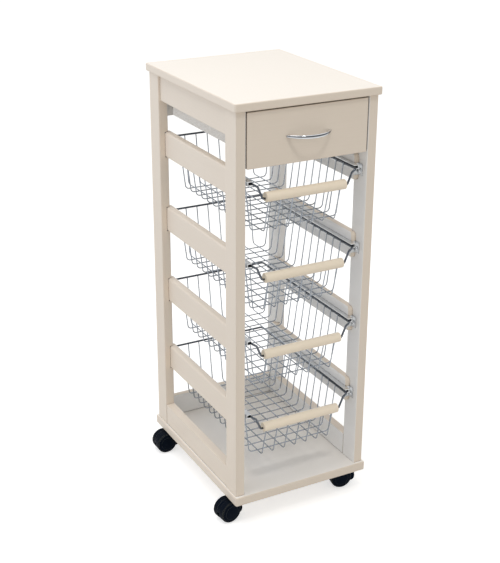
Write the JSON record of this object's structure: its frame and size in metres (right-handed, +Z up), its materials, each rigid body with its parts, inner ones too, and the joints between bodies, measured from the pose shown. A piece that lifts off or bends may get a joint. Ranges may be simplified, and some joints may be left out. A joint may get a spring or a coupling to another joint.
{
  "type": "rolling utility cart",
  "caption": "Narrow painted wooden kitchen trolley on castors, with a worktop, an inset drawer with a bow pull, sliding wire baskets with wooden handles and a low shelf.",
  "frame": {"origin": "on the floor, under the middle of the bounding box with the castors as they stand at rest", "axes": "+Z up from the floor; the drawer front and the basket handles face -Y; +X is to the right of someone who faces the drawer"},
  "size_m": [0.3396, 0.3924, 0.829],
  "materials": {
    "painted_wood": "satin ivory paint on solid wood",
    "turned_handle": "satin ivory paint on a turned dowel",
    "bare_wood": "pale bare softwood and plywood",
    "chromed_wire": "bright chrome plate on steel",
    "runner_steel": "bright zinc-plated sheet steel",
    "castor_plastic": "moulded black nylon",
    "castor_steel": "zinc-plated steel"
  },
  "bodies": {
    "frame": {"top_board": "painted_wood", "bottom_shelf": "painted_wood", "post_front_left": "painted_wood", "post_rear_left": "painted_wood", "post_front_right": "painted_wood", "post_rear_right": "painted_wood", "apron_left": "painted_wood", "apron_right": "painted_wood", "apron_rear": "painted_wood", "low_rail_left": "painted_wood", "low_rail_right": "painted_wood", "low_rail_rear": "painted_wood", "slat_left_1": "painted_wood", "slat_left_2": "painted_wood", "slat_left_3": "painted_wood", "slat_left_4": "painted_wood", "slat_right_1": "painted_wood", "slat_right_2": "painted_wood", "slat_right_3": "painted_wood", "slat_right_4": "painted_wood", "runner_left_1": "runner_steel", "runner_left_2": "runner_steel", "runner_left_3": "runner_steel", "runner_left_4": "runner_steel", "runner_right_1": "runner_steel", "runner_right_2": "runner_steel", "runner_right_3": "runner_steel", "runner_right_4": "runner_steel", "drawer_guide_left": "bare_wood", "drawer_guide_right": "bare_wood", "castor_stem_front_left": "castor_steel", "castor_stem_rear_left": "castor_steel", "castor_stem_front_right": "castor_steel", "castor_stem_rear_right": "castor_steel"},
    "drawer": {"drawer_front": "painted_wood", "drawer_side_left": "bare_wood", "drawer_side_right": "bare_wood", "drawer_bottom": "bare_wood", "drawer_back": "bare_wood", "drawer_pull": "chromed_wire"},
    "basket_1": {"basket_1": "chromed_wire", "basket_handle_1": "turned_handle"},
    "basket_2": {"basket_2": "chromed_wire", "basket_handle_2": "turned_handle"},
    "basket_3": {"basket_3": "chromed_wire", "basket_handle_3": "turned_handle"},
    "basket_4": {"basket_4": "chromed_wire", "basket_handle_4": "turned_handle"},
    "castor_front_left": {"castor_hood_front_left": "castor_plastic"},
    "wheel_front_left_a": {"castor_wheel_front_left_a": "castor_plastic"},
    "wheel_front_left_b": {"castor_wheel_front_left_b": "castor_plastic"},
    "castor_rear_left": {"castor_hood_rear_left": "castor_plastic"},
    "wheel_rear_left_a": {"castor_wheel_rear_left_a": "castor_plastic"},
    "wheel_rear_left_b": {"castor_wheel_rear_left_b": "castor_plastic"},
    "castor_front_right": {"castor_hood_front_right": "castor_plastic"},
    "wheel_front_right_a": {"castor_wheel_front_right_a": "castor_plastic"},
    "wheel_front_right_b": {"castor_wheel_front_right_b": "castor_plastic"},
    "castor_rear_right": {"castor_hood_rear_right": "castor_plastic"},
    "wheel_rear_right_a": {"castor_wheel_rear_right_a": "castor_plastic"},
    "wheel_rear_right_b": {"castor_wheel_rear_right_b": "castor_plastic"}
  },
  "joints": [
    {"name": "drawer_slide", "type": "slide", "parent": "frame", "child": "drawer", "axis": [0, -1, 0], "range_m": [0, 0.22]},
    {"name": "basket_1_slide", "type": "slide", "parent": "frame", "child": "basket_1", "axis": [0, -1, 0], "range_m": [0, 0.24]},
    {"name": "basket_2_slide", "type": "slide", "parent": "frame", "child": "basket_2", "axis": [0, -1, 0], "range_m": [0, 0.24]},
    {"name": "basket_3_slide", "type": "slide", "parent": "frame", "child": "basket_3", "axis": [0, -1, 0], "range_m": [0, 0.24]},
    {"name": "basket_4_slide", "type": "slide", "parent": "frame", "child": "basket_4", "axis": [0, -1, 0], "range_m": [0, 0.24]},
    {"name": "castor_front_left_swivel", "type": "hinge", "parent": "frame", "child": "castor_front_left", "pos_m": [-0.12802, -0.13985, 0.0437], "axis": [0, 0, 1], "continuous": true},
    {"name": "wheel_front_left_a_spin", "type": "hinge", "parent": "castor_front_left", "child": "wheel_front_left_a", "pos_m": [-0.14589, -0.14204, 0.022], "axis": [-0.1219, 0.9925, 0], "continuous": true},
    {"name": "wheel_front_left_b_spin", "type": "hinge", "parent": "castor_front_left", "child": "wheel_front_left_b", "pos_m": [-0.14589, -0.14204, 0.022], "axis": [-0.1219, 0.9925, 0], "continuous": true},
    {"name": "castor_rear_left_swivel", "type": "hinge", "parent": "frame", "child": "castor_rear_left", "pos_m": [-0.12802, 0.15315, 0.0437], "axis": [0, 0, 1], "continuous": true},
    {"name": "wheel_rear_left_a_spin", "type": "hinge", "parent": "castor_rear_left", "child": "wheel_rear_left_a", "pos_m": [-0.14602, 0.15315, 0.022], "axis": [0, 1, 0], "continuous": true},
    {"name": "wheel_rear_left_b_spin", "type": "hinge", "parent": "castor_rear_left", "child": "wheel_rear_left_b", "pos_m": [-0.14602, 0.15315, 0.022], "axis": [0, 1, 0], "continuous": true},
    {"name": "castor_front_right_swivel", "type": "hinge", "parent": "frame", "child": "castor_front_right", "pos_m": [0.12998, -0.13985, 0.0437], "axis": [0, 0, 1], "continuous": true},
    {"name": "wheel_front_right_a_spin", "type": "hinge", "parent": "castor_front_right", "child": "wheel_front_right_a", "pos_m": [0.11225, -0.13672, 0.022], "axis": [0.1736, 0.9848, 0], "continuous": true},
    {"name": "wheel_front_right_b_spin", "type": "hinge", "parent": "castor_front_right", "child": "wheel_front_right_b", "pos_m": [0.11225, -0.13672, 0.022], "axis": [0.1736, 0.9848, 0], "continuous": true},
    {"name": "castor_rear_right_swivel", "type": "hinge", "parent": "frame", "child": "castor_rear_right", "pos_m": [0.12998, 0.15315, 0.0437], "axis": [0, 0, 1], "continuous": true},
    {"name": "wheel_rear_right_a_spin", "type": "hinge", "parent": "castor_rear_right", "child": "wheel_rear_right_a", "pos_m": [0.14798, 0.15315, 0.022], "axis": [0, -1, 0], "continuous": true},
    {"name": "wheel_rear_right_b_spin", "type": "hinge", "parent": "castor_rear_right", "child": "wheel_rear_right_b", "pos_m": [0.14798, 0.15315, 0.022], "axis": [0, -1, 0], "continuous": true}
  ]
}
